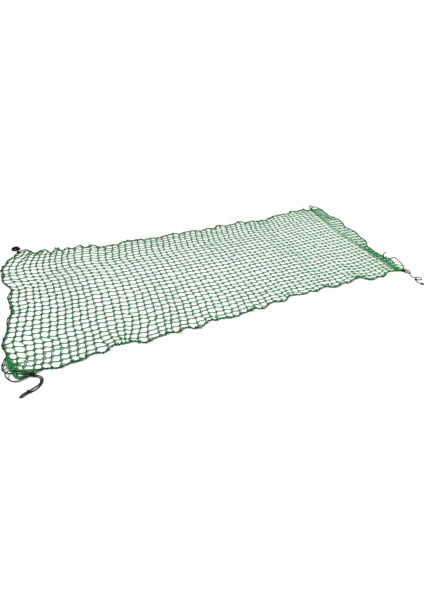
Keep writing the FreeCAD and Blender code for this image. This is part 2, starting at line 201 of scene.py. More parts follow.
# How far the crosswise lines stray from straight, at some levels across the net and at some
# places along it
STRAY_LEVELS = (-0.66, -0.45, -0.20, 0.00, 0.15, 0.30, 0.42, 0.55)
STRAY = {
    -1.5: (0.000, 0.000, 0.000, 0.000, 0.000, -0.010, -0.020, -0.010),
    -1.1: (0.000, 0.000, 0.000, -0.005, -0.015, -0.045, -0.060, -0.055),
    -0.7: (-0.030, 0.000, 0.015, 0.015, 0.000, -0.035, -0.020, 0.000),
    -0.4: (-0.045, -0.010, 0.010, 0.010, 0.000, -0.020, 0.005, 0.030),
    0.0: (-0.020, 0.000, 0.005, 0.000, -0.005, -0.010, 0.020, 0.060),
    0.5: (-0.010, 0.000, 0.000, 0.000, 0.000, 0.005, 0.035, 0.075),
    1.0: (-0.005, 0.000, 0.000, 0.000, 0.000, 0.010, 0.030, 0.060),
    1.4: (0.000, 0.000, 0.000, 0.000, 0.000, 0.010, 0.020, 0.030),
}

# Where the edge meshes are drawn together along the rope: x, y, reach and strength
GATHERS = [
    (-1.150, -0.67, 0.040, 0.5), (-1.000, -0.65, 0.045, 0.5), (-0.890, -0.65, 0.060, 0.7),
    (-0.635, -0.66, 0.035, 0.4), (-0.320, -0.65, 0.045, 0.6), (-0.175, -0.67, 0.040, 0.5),
    (0.320, -0.62, 0.050, 0.5), (0.560, -0.64, 0.040, 0.5), (0.700, -0.65, 0.050, 0.5),
    (1.080, -0.68, 0.050, 0.5), (1.230, -0.69, 0.040, 0.4),
    (-1.588, 0.358, 0.040, 0.5), (-1.530, -0.120, 0.040, 0.5), (-1.548, -0.585, 0.060, 0.65),
]

# One sheet bend, the knot at every crossing of the netting, in millimetres: along the
# knot, across it and up. The bight holds the left and near legs of the crossing, and
# the wrap holds the far and right legs.
BIGHT = [
    (-6.0, 1.9, 0.0), (-2.5, 2.3, 0.6), (1.5, 2.6, 0.9), (4.2, 1.2, 0.9),
    (4.2, -1.2, 0.9), (1.5, -2.6, 0.9), (-2.5, -2.3, 0.6), (-6.0, -1.9, 0.0),
]
WRAP = [
    (6.5, 1.9, -0.6), (3.0, 1.0, -2.3), (0.6, 0.6, -0.4), (-0.8, 1.6, 3.0),
    (-2.6, 4.5, 1.8), (-3.4, 3.2, -2.0), (-3.6, 0.0, -2.9), (-3.2, -3.6, -1.8),
    (-2.6, -4.6, 1.4), (-0.6, -2.4, 3.6), (3.0, -0.8, 3.6), (6.8, -1.8, 1.0),
]
KNOT_RIDE = 5.5  # middle of a netting knot above the ground
KNOT_STRETCH = 1.2  # how much longer a tightened knot is along its length


def to_linear(hex_colour):
    """An sRGB hex colour as linear red, green, blue and alpha."""
    channels = [int(hex_colour[i:i + 2], 16) / 255 for i in (1, 3, 5)]
    linear = [c / 12.92 if c <= 0.04045 else ((c + 0.055) / 1.055) ** 2.4 for c in channels]
    return (*linear, 1.0)


def unit(vectors):
    """Vectors of length one along the last axis."""
    return vectors / np.maximum(np.linalg.norm(vectors, axis=-1, keepdims=True), 1e-12)


# Settings

class NetSizes(bpy.types.PropertyGroup):
    twine_dia: bpy.props.FloatProperty(
        name="Twine diameter", description="Diameter of the netting twine",
        default=0.0052, unit="LENGTH")
    rope_dia: bpy.props.FloatProperty(
        name="Rope diameter", description="Diameter of the border rope and its ends",
        default=0.006, unit="LENGTH")
    rope_lay: bpy.props.FloatProperty(
        name="Rope lay", description="Length of one full turn of the rope's strands",
        default=0.021, unit="LENGTH")
    rope_step: bpy.props.FloatProperty(
        name="Rope step", description="Distance between the rings of a strand's mesh",
        default=0.0026, unit="LENGTH")
    knot_lean: bpy.props.FloatProperty(
        name="Knot lean", description="Angle of the netting's knots from the net's long side",
        default=math.radians(58), subtype="ANGLE")
    slack: bpy.props.FloatProperty(
        name="Slack", description="How far knots and legs wander from an even netting",
        default=0.0032, unit="LENGTH")
    seed: bpy.props.IntProperty(
        name="Seed", description="Start of the random draws", default=7)


class NetColours(bpy.types.PropertyGroup):
    twine: bpy.props.FloatVectorProperty(
        name="Twine", description="Green of the netting twine", subtype="COLOR", size=4,
        min=0, max=1, default=to_linear("#069a46"))
    # Darker green painted into the furrows between the twine's yarns: painted shade in the recesses
    twine_furrow_painted_shade: bpy.props.FloatVectorProperty(
        name="Twine shade", description="Darker green between the twine's yarns",
        subtype="COLOR", size=4, min=0, max=1, default=to_linear("#046030"))
    rope: bpy.props.FloatVectorProperty(
        name="Rope", description="Near-black of the border rope", subtype="COLOR", size=4,
        min=0, max=1, default=to_linear("#0a0c0b"))
    rope_wear: bpy.props.FloatVectorProperty(
        name="Rope wear", description="Greyer colour of the rope's rubbed fibres",
        subtype="COLOR", size=4, min=0, max=1, default=to_linear("#161a18"))
    floor: bpy.props.FloatVectorProperty(
        name="Floor", description="Colour of the floor", subtype="COLOR", size=4,
        min=0, max=1, default=to_linear("#f7f7f5"))


class NetSettings(bpy.types.PropertyGroup):
    sizes: bpy.props.PointerProperty(type=NetSizes)
    colours: bpy.props.PointerProperty(type=NetColours)


# Materials

def add_node(tree, kind, links=None, **settings):
    """A node with its settings and its inputs: a value, or another node's output."""
    node = tree.nodes.new(kind)
    for name, value in settings.items():
        setattr(node, name, value)
    for name, source in (links or {}).items():
        if isinstance(source, bpy.types.NodeSocket):
            tree.links.new(source, node.inputs[name])
        else:
            node.inputs[name].default_value = source
    return node


def new_material(name):
    """An empty node material with an output, or the one already made."""
    found = bpy.data.materials.get(name)
    if found:
        return found, None
    made = bpy.data.materials.new(name)
    made.use_nodes = True
    made.node_tree.nodes.clear()
    return made, made.node_tree


def twine_material(colours):
    """Twisted polyethylene monofilament, drawn and waxy: two yarns laid round each other give
    slanting ridges, a soft gloss along each ridge, and a darker green painted into the furrows
    between them as painted shade in the twine's recesses."""
    made, tree = new_material("twisted_polyethylene_twine")
    if tree is None:
        return made
    place = add_node(tree, "ShaderNodeUVMap", uv_map="along_twine")
    # Ridges of the lay: two yarns and one turn each 9 mm, drawn as slanting bands
    lean = add_node(tree, "ShaderNodeMapping", {
        "Vector": place.outputs["UV"], "Scale": (2.0, 1000 / 9.0 * 2.0, 1.0)})
    split = add_node(tree, "ShaderNodeSeparateXYZ", {"Vector": lean.outputs["Vector"]})
    slant = add_node(tree, "ShaderNodeMath", {0: split.outputs["X"], 1: split.outputs["Y"]},
                     operation="ADD")
    ridge = add_node(tree, "ShaderNodeMath", {0: slant.outputs[0], 1: 0.5}, operation="PINGPONG")
    ridge_high = add_node(tree, "ShaderNodeMapRange", {
        "Value": ridge.outputs[0], "From Min": 0.0, "From Max": 0.5, "To Min": 0.0, "To Max": 1.0},
        interpolation_type="SMOOTHSTEP")
    # Uneven dye and sun bleaching, over 30 mm
    where = add_node(tree, "ShaderNodeTexCoord")
    bleach = add_node(tree, "ShaderNodeTexNoise", {
        "Vector": where.outputs["Object"], "Scale": 1 / 0.03, "Detail": 3.0, "Roughness": 0.6})
    # Painted shade: the furrows between the yarns take the darker green, and the ridges take the
    # twine's own green
    base = add_node(tree, "ShaderNodeMix", {
        "Factor": ridge_high.outputs["Result"], "A": colours.twine_furrow_painted_shade, "B": colours.twine},
        data_type="RGBA")
    tone = add_node(tree, "ShaderNodeHueSaturation", {"Color": base.outputs["Result"]})
    value = add_node(tree, "ShaderNodeMapRange", {
        "Value": bleach.outputs["Fac"], "From Min": 0.3, "From Max": 0.7,
        "To Min": 0.82, "To Max": 1.2})
    tree.links.new(value.outputs["Result"], tone.inputs["Value"])
    fibre = add_node(tree, "ShaderNodeTexNoise", {
        "Vector": where.outputs["Object"], "Scale": 1 / 0.0009, "Detail": 2.0})
    gloss = add_node(tree, "ShaderNodeMapRange", {
        "Value": fibre.outputs["Fac"], "To Min": 0.38, "To Max": 0.6})
    bump = add_node(tree, "ShaderNodeBump", {
        "Strength": 0.6, "Distance": 0.0006, "Height": ridge_high.outputs["Result"]})
    shader = add_node(tree, "ShaderNodeBsdfPrincipled", {
        "Base Color": tone.outputs["Color"], "Roughness": gloss.outputs["Result"],
        "IOR": 1.51, "Specular IOR Level": 0.3, "Normal": bump.outputs["Normal"]})
    add_node(tree, "ShaderNodeOutputMaterial", {"Surface": shader.outputs["BSDF"]})
    return made


def rope_material(colours):
    """Laid polypropylene rope, dyed near-black: fine fibres along each strand, a dull gloss
    and grey rubbed patches where the rope has been dragged."""
    made, tree = new_material("laid_polypropylene_rope")
    if tree is None:
        return made
    place = add_node(tree, "ShaderNodeUVMap", uv_map="along_twine")
    # Yarns inside a strand: 5 round it, one turn each 14 mm
    lean = add_node(tree, "ShaderNodeMapping", {
        "Vector": place.outputs["UV"], "Scale": (5.0, 1000 / 14.0 * 5.0, 1.0)})
    split = add_node(tree, "ShaderNodeSeparateXYZ", {"Vector": lean.outputs["Vector"]})
    slant = add_node(tree, "ShaderNodeMath", {0: split.outputs["X"], 1: split.outputs["Y"]},
                     operation="SUBTRACT")
    yarn = add_node(tree, "ShaderNodeMath", {0: slant.outputs[0], 1: 0.5}, operation="PINGPONG")
    where = add_node(tree, "ShaderNodeTexCoord")
    wear = add_node(tree, "ShaderNodeTexNoise", {
        "Vector": where.outputs["Object"], "Scale": 1 / 0.012, "Detail": 4.0, "Roughness": 0.65})
    patch = add_node(tree, "ShaderNodeMapRange", {
        "Value": wear.outputs["Fac"], "From Min": 0.48, "From Max": 0.75,
        "To Min": 0.0, "To Max": 0.7})
    colour = add_node(tree, "ShaderNodeMix", {
        "Factor": patch.outputs["Result"], "A": colours.rope, "B": colours.rope_wear},
        data_type="RGBA")
    gloss = add_node(tree, "ShaderNodeMapRange", {
        "Value": wear.outputs["Fac"], "To Min": 0.5, "To Max": 0.75})
    bump = add_node(tree, "ShaderNodeBump", {
        "Strength": 0.5, "Distance": 0.0004, "Height": yarn.outputs[0]})
    shader = add_node(tree, "ShaderNodeBsdfPrincipled", {
        "Base Color": colour.outputs["Result"], "Roughness": gloss.outputs["Result"],
        "IOR": 1.49, "Specular IOR Level": 0.3, "Normal": bump.outputs["Normal"]})
    add_node(tree, "ShaderNodeOutputMaterial", {"Surface": shader.outputs["BSDF"]})
    return made


def floor_material(colours):
    """Matt white studio paper: even, with the faintest mottling and no gloss."""
    made, tree = new_material("matt_white_paper")
    if tree is None:
        return made
    where = add_node(tree, "ShaderNodeTexCoord")
    mottle = add_node(tree, "ShaderNodeTexNoise", {
        "Vector": where.outputs["Object"], "Scale": 3.0, "Detail": 2.0})
    value = add_node(tree, "ShaderNodeMapRange", {
        "Value": mottle.outputs["Fac"], "To Min": 0.99, "To Max": 1.01})
    tone = add_node(tree, "ShaderNodeHueSaturation", {
        "Color": colours.floor, "Value": value.outputs["Result"]})
    shader = add_node(tree, "ShaderNodeBsdfPrincipled", {
        "Base Color": tone.outputs["Color"], "Roughness": 0.95, "Specular IOR Level": 0.1})
    add_node(tree, "ShaderNodeOutputMaterial", {"Surface": shader.outputs["BSDF"]})
    return made


def studio_world():
    """A studio's surroundings: white low down, where the paper sweep rises, and dimmer above."""
    world = bpy.data.worlds.new("studio")
    world.use_nodes = True
    tree = world.node_tree
    tree.nodes.clear()
    where = add_node(tree, "ShaderNodeTexCoord")
    split = add_node(tree, "ShaderNodeSeparateXYZ", {"Vector": where.outputs["Generated"]})
    dim = add_node(tree, "ShaderNodeMapRange", {
        "Value": split.outputs["Z"], "From Min": 0.10, "From Max": 0.35,
        "To Min": 1.06, "To Max": 0.36}, interpolation_type="SMOOTHSTEP")
    glow = add_node(tree, "ShaderNodeBackground", {
        "Color": (1.0, 1.0, 0.995, 1.0), "Strength": dim.outputs["Result"]})
    add_node(tree, "ShaderNodeOutputWorld", {"Surface": glow.outputs["Background"]})
    return world


# Tubes and meshes

def sweep(centres, radius, sides, first=None, last=None):
    """Round tubes along many centre lines at once, centres being (tubes, rings, 3). The end
    rings stand square to first and last, so that two tubes that share an end ring meet there."""
    tubes, rings, _ = centres.shape
    headings = np.gradient(centres, axis=1)
    if first is not None:
        headings[:, 0] = first
    if last is not None:
        headings[:, -1] = last
    headings = unit(headings)
    level = np.cross(headings[:, 0], UP)
    upright = np.linalg.norm(level, axis=-1) < 0.2
    level[upright] = np.cross(headings[upright, 0], (1.0, 0.0, 0.0))
    normals = [unit(level)]
    for ring in range(1, rings):
        along = headings[:, ring]
        before = normals[-1]
        normals.append(unit(before - along * (before * along).sum(-1, keepdims=True)))
    normals = np.stack(normals, axis=1)
    binormals = np.cross(headings, normals)
    goal = np.cross(headings[:, -1], UP)
    turn = np.arctan2((goal * binormals[:, -1]).sum(-1), (goal * normals[:, -1]).sum(-1))
    step = 2 * math.pi / sides
    turn = (turn + step / 2) % step - step / 2
    twist = turn[:, None] * np.linspace(0, 1, rings)
    angles = twist[:, :, None] + np.arange(sides) * step
    round_it = (np.cos(angles)[..., None] * normals[:, :, None]
                + np.sin(angles)[..., None] * binormals[:, :, None])
    radii = np.broadcast_to(np.asarray(radius, float), (tubes, rings))
    points = centres[:, :, None] + round_it * radii[:, :, None, None]
    runs = np.linalg.norm(np.diff(centres, axis=1), axis=-1)
    travelled = np.concatenate([np.zeros((tubes, 1)), np.cumsum(runs, axis=1)], axis=1)
    return points, travelled


def rounded(lines):
    """Lines with their corners cut off once, and their ends kept."""
    before = lines[:, :-1] * 0.75 + lines[:, 1:] * 0.25
    after = lines[:, :-1] * 0.25 + lines[:, 1:] * 0.75
    between = np.stack([before, after], axis=2).reshape(len(lines), -1, 3)
    return np.concatenate([lines[:, :1], between[:, 1:-1], lines[:, -1:]], axis=1)


def skin(points, travelled, first_closed=True, last_closed=True, closed_loop=False):
    """Corners, four-sided faces and UVs of swept tubes: U round the tube, V metres along it.
    Each end is closed on all tubes, on none, or on those that are marked."""
    tubes, rings, sides, _ = points.shape
    index = np.arange(tubes * rings * sides).reshape(tubes, rings, sides)
    here = index if closed_loop else index[:, :-1]
    there = np.roll(index, -1, axis=1) if closed_loop else index[:, 1:]
    around = [here, np.roll(here, -1, axis=2), np.roll(there, -1, axis=2), there]
    faces = np.stack(around, axis=-1).reshape(-1, 4)
    u = np.broadcast_to(np.arange(sides) / sides, here.shape)
    low = np.broadcast_to(travelled[:, :here.shape[1], None], here.shape)
    rise = np.diff(travelled, axis=1)
    if closed_loop:
        rise = np.concatenate([rise, rise[:, -1:]], axis=1)
    high = low + rise[:, :, None]
    uvs = np.stack([
        np.stack([u, low], -1), np.stack([u + 1 / sides, low], -1),
        np.stack([u + 1 / sides, high], -1), np.stack([u, high], -1)], axis=3).reshape(-1, 4, 2)
    if not closed_loop:
        pairs = np.array([(i, i + 1, sides - 2 - i, sides - 1 - i) for i in range(sides // 2 - 1)])
        first = np.broadcast_to(first_closed, tubes)
        last = np.broadcast_to(last_closed, tubes)
        back = index[first, 0][:, pairs[:, ::-1]].reshape(-1, 4)
        front = index[last, -1][:, pairs].reshape(-1, 4)
        faces = np.concatenate([faces, back, front])
        uvs = np.concatenate([uvs, np.zeros((len(back) + len(front), 4, 2))])
    return points.reshape(-1, 3), faces, uvs


def make_piece(name, skins, material, slot, body, *replaced):
    """One object from several skins, smooth, on its body, standing for CAD nodes."""
    offset = 0
    corners = []
    faces = []
    uvs = []
    for part_corners, part_faces, part_uvs in skins:
        corners.append(part_corners)
        faces.append(part_faces + offset)
        uvs.append(part_uvs)
        offset += len(part_corners)
    corners = np.concatenate(corners)
    faces = np.concatenate(faces)
    uvs = np.concatenate(uvs)
    mesh = bpy.data.meshes.new(name)
    mesh.vertices.add(len(corners))
    mesh.vertices.foreach_set("co", corners.astype(np.float32).ravel())
    mesh.loops.add(faces.size)
    mesh.loops.foreach_set("vertex_index", faces.astype(np.int32).ravel())
    mesh.polygons.add(len(faces))
    mesh.polygons.foreach_set("loop_start", np.arange(0, faces.size, 4, dtype=np.int32))
    mesh.polygons.foreach_set("use_smooth", np.ones(len(faces), bool))
    layer = mesh.uv_layers.new(name="along_twine")
    layer.data.foreach_set("uv", uvs.astype(np.float32).ravel())
    mesh.update(calc_edges=True)
    mesh.validate()
    mesh.materials.append(material)
    piece = bpy.data.objects.new(name, mesh)
    bpy.context.scene.collection.objects.link(piece)
    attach(piece, body)
    if replaced:
        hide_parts(*replaced)
    return piece


def distances(line):
    """How far along a line each of its points is."""
    return np.concatenate([[0], np.cumsum(np.linalg.norm(np.diff(line, axis=0), axis=1))])


def route_line(points, step):
    """The smooth line of a route, as points a step apart along its NURBS spline."""
    data = bpy.data.curves.new("route", "CURVE")
    data.dimensions = "3D"
    data.resolution_u = 8
    spline = data.splines.new("NURBS")
    spline.points.add(len(points) - 1)
    for knot, point in zip(spline.points, points):
        height = point[2] if len(point) == 3 else ROPE_HEIGHT
        knot.co = (point[0], point[1], height, 1.0)
    spline.order_u = 3
    spline.use_endpoint_u = True
    holder = bpy.data.objects.new("route", data)
    bpy.context.scene.collection.objects.link(holder)
    mesh = bpy.data.meshes.new_from_object(holder)
    line = np.array([v.co for v in mesh.vertices], float)
    bpy.data.objects.remove(holder)
    bpy.data.curves.remove(data)
    bpy.data.meshes.remove(mesh)
    travelled = distances(line)
    count = max(2, round(travelled[-1] / step) + 1)
    wanted = np.linspace(0, travelled[-1], count)
    return np.stack([np.interp(wanted, travelled, line[:, k]) for k in range(3)], axis=1)


# A strand's radius and its distance from the rope's axis, as shares of the rope's diameter
STRAND_RADIUS = 0.288
STRAND_OFFSET = 0.302


def line_frames(line):
    """Heading and two square directions at each point of a line, turning as little as possible."""
    headings = unit(np.gradient(line, axis=0))
    normal = unit(np.cross(headings[0], UP))
    normals = []
    for heading in headings:
        normal = unit(normal - heading * (normal @ heading))
        normals.append(normal)
    normals = np.array(normals)
    return headings, normals, np.cross(headings, normals)


def laid_rope(line, diameter, lay, sealed=(True, True)):
    """Skins of a three-strand laid rope along a line, its sealed ends melted to a dome."""
    strand_radius = diameter * STRAND_RADIUS
    offset = diameter * STRAND_OFFSET
    headings, normals, binormals = line_frames(line)
    travelled = distances(line)
    strands = []
    for strand in range(3):
        angle = travelled / lay * 2 * math.pi + strand * 2 * math.pi / 3
        strands.append(line + offset * (np.cos(angle)[:, None] * normals
                                        + np.sin(angle)[:, None] * binormals))
    skins = [skin(*sweep(np.array(strands), strand_radius, 6))]
    for is_sealed, end, heading in zip(sealed, (line[0], line[-1]), (-headings[0], headings[-1])):
        if is_sealed:
            skins.append(melted_end(end, heading, diameter))
    return skins


def melted_end(place, heading, diameter):
    """The domed bead that a hot knife leaves on a cut rope end."""
    shares = np.array([-0.5, -0.42, -0.2, 0.05, 0.25, 0.38, 0.44])
    widths = np.array([0.05, 0.40, 0.52, 0.52, 0.42, 0.24, 0.03])
    centres = place + np.outer(shares * diameter, heading)
    return skin(*sweep(centres[None], (widths * diameter)[None], 10))


# Netting

BORDER_STEP = 0.004  # between the points of a border's rope
MEAN_WIDTH = 33  # points of a border's grid, 5 mm apart, that its mean line is taken over
EDGE_INSET = 0.0075  # from the rope's axis to the edge knots beside it
BULGE_INSET = 0.6  # share of the rope's outward bulges that the edge knots don't follow
WAVE_REACH = 1.3  # meshes over which the rope's waves die out inside the netting
LEG_GAP = 0.0003  # twine clear of the ground and of the rope
WIND_LENGTH = 0.016  # length of rope that one wound leg takes
# How near the rope an outermost leg has to be to be wound round it, on each side
WINDING_REACH = {"near": 0.02, "far": 0.02, "left": 0.009, "right": 0.02}
OUTWARD = {"near": (0, -1, 0), "far": (0, 1, 0), "left": (-1, 0, 0), "right": (1, 0, 0)}


class Border:
    """One side of the netting: the rope beside it and the line that its edge knots follow.
    The side runs along axis 0 or 1, and inward is 1 or -1 on the other axis."""

    def __init__(self, route, along, inward, low_outline=(), high_outline=(), span=(-1, 1)):
        self.line = route_line(route, BORDER_STEP)
        across = 1 - along
        self.grid = np.arange(-1.75, 1.75, 0.005)
        keep = (self.line[:, along] > span[0]) & (self.line[:, along] < span[1])
        order = np.argsort(self.line[keep, along])
        places = self.line[keep][order, along]
        levels = self.line[keep][order, across]
        rope = np.interp(self.grid, places, levels)
        padded = np.pad(rope, MEAN_WIDTH // 2, mode="edge")
        mean = np.convolve(padded, np.ones(MEAN_WIDTH) / MEAN_WIDTH, mode="valid")
        bulge = np.maximum((mean - rope) * inward, 0)
        edge = rope + inward * (EDGE_INSET + BULGE_INSET * bulge)
        for outline in (low_outline, high_outline):
            if outline:
                spots = sorted((p[along], p[across]) for p in outline)
                inside = (self.grid > spots[0][0]) & (self.grid < spots[-1][0])
                given = np.interp(self.grid, [s[0] for s in spots], [s[1] for s in spots])
                edge = np.where(inside, given, edge)
                mean = np.where(inside, given, mean)
        self.edge = edge
        self.mean = mean

    def level(self, place, rows_in):
        """Where the netting's line lies at a place, its waves dying out away from the edge."""
        fade = np.exp(-rows_in / WAVE_REACH)
        return (np.interp(place, self.grid, self.mean) * (1 - fade)
                + np.interp(place, self.grid, self.edge) * fade)

    def nearest(self, points):
        """The rope's points nearest to some points, and its headings there."""
        apart = np.linalg.norm(self.line[None, :, :2] - points[:, None, :2], axis=-1)
        index = np.clip(apart.argmin(axis=1), 1, len(self.line) - 2)
        return self.line[index], unit(self.line[index + 1] - self.line[index - 1])


def softly_above(value, floor, softness):
    """The value, but kept above a floor without a kink."""
    return floor + softness * np.logaddexp(0, (value - floor) / softness)


def smooth_step(value):
    """0 below 0, 1 above 1 and an even slope between them, without a kink."""
    value = np.clip(value, 0, 1)
    return value * value * (3 - 2 * value)


def corner_fold(x):
    """Level of the fold that runs out of the near-left corner, at a place along the net."""
    return -0.50 - 0.14 * np.clip(-1.0 - x, 0, 0.5)


def gathered(x, y):
    """Places drawn towards the gathers beside them, along the rope that each gather is on."""
    for gather_x, gather_y, reach, strength in GATHERS:
        near_it = np.exp(-(((x - gather_x) / (2 * reach)) ** 2)
                         - ((y - gather_y) / (1.3 * reach)) ** 2)
        if abs(gather_y) > 0.6:
            x = x - (x - gather_x) * strength * near_it
        else:
            y = y - (y - gather_y) * strength * near_it
    return x, y


class Netting:
    """Places of the knots and legs of the netting as it lies."""

    def __init__(self, sizes):
        self.sizes = sizes
        self.random = np.random.RandomState(sizes.seed)
        self.borders = {
            "near": Border(NEAR_ROPE, 0, 1, low_outline=NEAR_LEFT_OUTLINE, span=(-1.37, 1.46)),
            "far": Border(FAR_ROPE, 0, -1, low_outline=FAR_LEFT_OUTLINE, span=(-1.5, 1.49)),
            "left": Border(LEFT_ROPE, 1, 1, low_outline=LEFT_LOW_OUTLINE,
                           high_outline=LEFT_HIGH_OUTLINE, span=(-0.66, 0.66)),
            "right": Border(RIGHT_ROPE, 1, -1, low_outline=RIGHT_LOW_OUTLINE,
                            high_outline=RIGHT_HIGH_OUTLINE, span=(-0.68, 0.64)),
        }
        self.place_knots()
        self.place_legs()

    def place_knots(self):
        """Each knot's middle and the way that it leans."""
        column, row = np.meshgrid(np.arange(COLUMNS), np.arange(ROWS), indexing="ij")
        x, y = self.spread(column, row)
        x = self.sheared(x, y, column)
        x, y = gathered(x, y)
        wander = self.random.normal(size=(2, COLUMNS, ROWS)) * self.sizes.slack
        on_edge = (row == 0) | (row == ROWS - 1) | (column == 0) | (column == COLUMNS - 1)
        calm = np.where(on_edge, 0.35, 1.0)
        x = x + wander[0] * calm + 0.004 * np.sin(9 * y + 3 * x)
        y = y + wander[1] * calm
        z = KNOT_RIDE * MM + self.ripple(x, y)
        self.knots = np.stack([x, y, z], axis=-1)
        self.lean = self.sizes.knot_lean + self.random.normal(size=x.shape) * 0.16

    def spread(self, column, row):
        """Places of the knots where the netting fills its four borders evenly, but for the
        narrow spaces at its left end, the folded band at its right end and its strays."""
        narrow_end = FIRST_LINE + NARROW_SPACES * NARROW_SPACE
        wide_spaces = RIDGE_COLUMN - NARROW_SPACES
        band_spaces = COLUMNS - 1 - RIDGE_COLUMN
        even = np.concatenate([
            FIRST_LINE + NARROW_SPACE * np.arange(NARROW_SPACES),
            np.linspace(narrow_end, RIDGE_MIDDLE, wide_spaces + 1),
            np.full(band_spaces, RIDGE_MIDDLE)])[column]
        share = row / (ROWS - 1)
        past_ridge = np.clip((column - RIDGE_COLUMN) / band_spaces, 0, 1)
        near, far, left, right = (self.borders[side] for side in ("near", "far", "left", "right"))
        # A knot's place along the net depends on its level and the other way round, so both
        # are worked out three times over
        y = NEAR_LEVEL + 1.235 * share
        for _ in range(3):
            open_left = np.where(y < -0.45, -1.540, left.level(y, column))
            x = even + (open_left - FIRST_LINE) * np.exp(-column / 7)
            x = x + self.stray(even, y) * (1 - past_ridge)
            ridge = np.interp(y, RIDGE_LEVELS, RIDGE_PLACES)
            beside_ridge = np.exp(-np.abs(column - RIDGE_COLUMN) / 3) * (past_ridge == 0)
            x = x + (ridge - RIDGE_MIDDLE) * beside_ridge
            in_band = ridge + (right.level(y, COLUMNS - 1 - column) - ridge) * past_ridge
            x = np.where(past_ridge > 0, in_band, x)
            squeeze = 0.10 * smooth_step((x + 1.45) / 0.5)
            g = share - squeeze * np.sin(2 * math.pi * share) / (2 * math.pi)
            near_rise = (near.level(x, row) - NEAR_LEVEL) * (1 - g) ** 2.2
            far_rise = (far.level(x, ROWS - 1 - row) - FAR_LEVEL) * g ** 2.2
            y = NEAR_LEVEL * (1 - g) + FAR_LEVEL * g + near_rise + far_rise
        return x, y

    def sheared(self, x, y, column):
        """Places along the net, with the meshes below the near-left fold sheared by it and kept
        right of the netting's left outline."""
        below = smooth_step((corner_fold(x) - y) / 0.13)
        shear = 0.016 * smooth_step((-0.90 - x) / 0.27)
        x = x - shear * below
        left = self.borders["left"]
        leftmost = np.interp(y, left.grid, left.edge) + 0.0055 * column
        return np.where(y < -0.44, softly_above(x, leftmost, 0.009), x)

    def stray(self, place, level):
        """How far a crosswise line strays along the net, at a place and a level."""
        places = sorted(STRAY)
        by_place = np.stack([np.interp(level, STRAY_LEVELS, STRAY[p]) for p in places])
        index = np.clip(np.searchsorted(places, place) - 1, 0, len(places) - 2)
        low, high = np.array(places)[index], np.array(places)[index + 1]
        share = smooth_step((place - low) / (high - low))
        lower = np.take_along_axis(by_place, index[None], 0)[0]
        upper = np.take_along_axis(by_place, index[None] + 1, 0)[0]
        return lower * (1 - share) + upper * share

    def ripple(self, x, y):
        """Height of the netting's slack folds above lying flat."""
        rolling = np.maximum(0, np.sin(7.1 * x + 2.3 * y) * np.sin(3.7 * y - 2.9 * x + 1.0)) ** 2
        beside_fold = np.exp(-(((y - corner_fold(x) + 0.03) / 0.03) ** 2))
        beside_fold = beside_fold * smooth_step((-0.95 - x) / 0.3)
        ridge = np.exp(-(((x - 0.012 - np.interp(y, RIDGE_LEVELS, RIDGE_PLACES)) / 0.020) ** 2))
        return 0.003 * rolling + 0.004 * beside_fold + 0.010 * ridge

    def at_knot(self, points, places=None, lean=None):
        """Points of a knot's own plan, at every knot of the netting or at some given places."""
        places = self.knots if places is None else places
        lean = self.lean if lean is None else lean
        points = np.array(points) * MM * (KNOT_STRETCH, 1.0, 1.0)
        along = np.stack([np.cos(lean), np.sin(lean)], axis=-1)
        across = np.stack([-along[..., 1], along[..., 0]], axis=-1)
        flat = (points[:, 0, None] * along[..., None, :] + points[:, 1, None] * across[..., None, :])
        high = np.broadcast_to(points[:, 2], flat.shape[:-1])
        return places[..., None, :] + np.concatenate([flat, high[..., None]], axis=-1)

    def place_legs(self):
        """The middle and heading of every leg between knots, and the points half-way to it."""
        radius = self.sizes.twine_dia / 2
        self.bights = self.at_knot(BIGHT)
        self.wraps = self.at_knot(WRAP)
        ends = {
            "left": self.bights[:, :, 0], "near": self.bights[:, :, -1],
            "far": self.wraps[:, :, 0], "right": self.wraps[:, :, -1],
        }
        shape = (COLUMNS, ROWS, 3)
        self.middle = {}
        self.heading = {}
        self.half = {}
        for out_side, back_side, axis in (("right", "left", 0), ("far", "near", 1)):
            under = tuple(slice(None, -1) if k == axis else slice(None) for k in (0, 1))
            over = tuple(slice(1, None) if k == axis else slice(None) for k in (0, 1))
            start, end = ends[out_side][under], ends[back_side][over]
            middle = (start + end) / 2
            middle[..., :2] += self.random.normal(size=middle[..., :2].shape) * 0.0012
            middle[..., 2] = radius + LEG_GAP + self.ripple(middle[..., 0], middle[..., 1]) * 0.9
            heading = unit((end - start) * (1, 1, 0))
            for side, where, knot_end in ((out_side, under, start), (back_side, over, end)):
                halfway = (middle + knot_end) / 2
                halfway[..., 2] = np.maximum(halfway[..., 2] - 0.0008, radius)
                for table, places in (
                        (self.middle, middle), (self.heading, heading), (self.half, halfway)):
                    table[side] = np.full(shape, np.nan)
                    table[side][where] = places
        self.lace_edges(ends)

    def lace_edges(self, ends):
        """Ends the outer legs at the rope, and winds the outermost legs round it."""
        rope_out = self.sizes.rope_dia / 2 + self.sizes.twine_dia / 2 + LEG_GAP
        whole = slice(None)
        edges = {
            "near": (whole, 0), "far": (whole, ROWS - 1),
            "left": (0, whole), "right": (COLUMNS - 1, whole),
        }
        self.loop_places = {}
        for side, edge in edges.items():
            knots = self.knots[edge]
            rope, heading = self.borders[side].nearest(knots)
            self.loop_places[side] = (rope, heading)
            towards = unit((knots - rope) * (1, 1, 0))
            at_rope = rope + towards * rope_out
            at_rope[:, 2] = ROPE_HEIGHT
            self.middle[side][edge] = at_rope
            # Headings of legs point right and far, so a far or right leg's points at the rope
            self.heading[side][edge] = towards if side in ("near", "left") else -towards
            self.half[side][edge] = (at_rope + ends[side][edge]) / 2
            self.wind_legs(side, edge, rope_out)

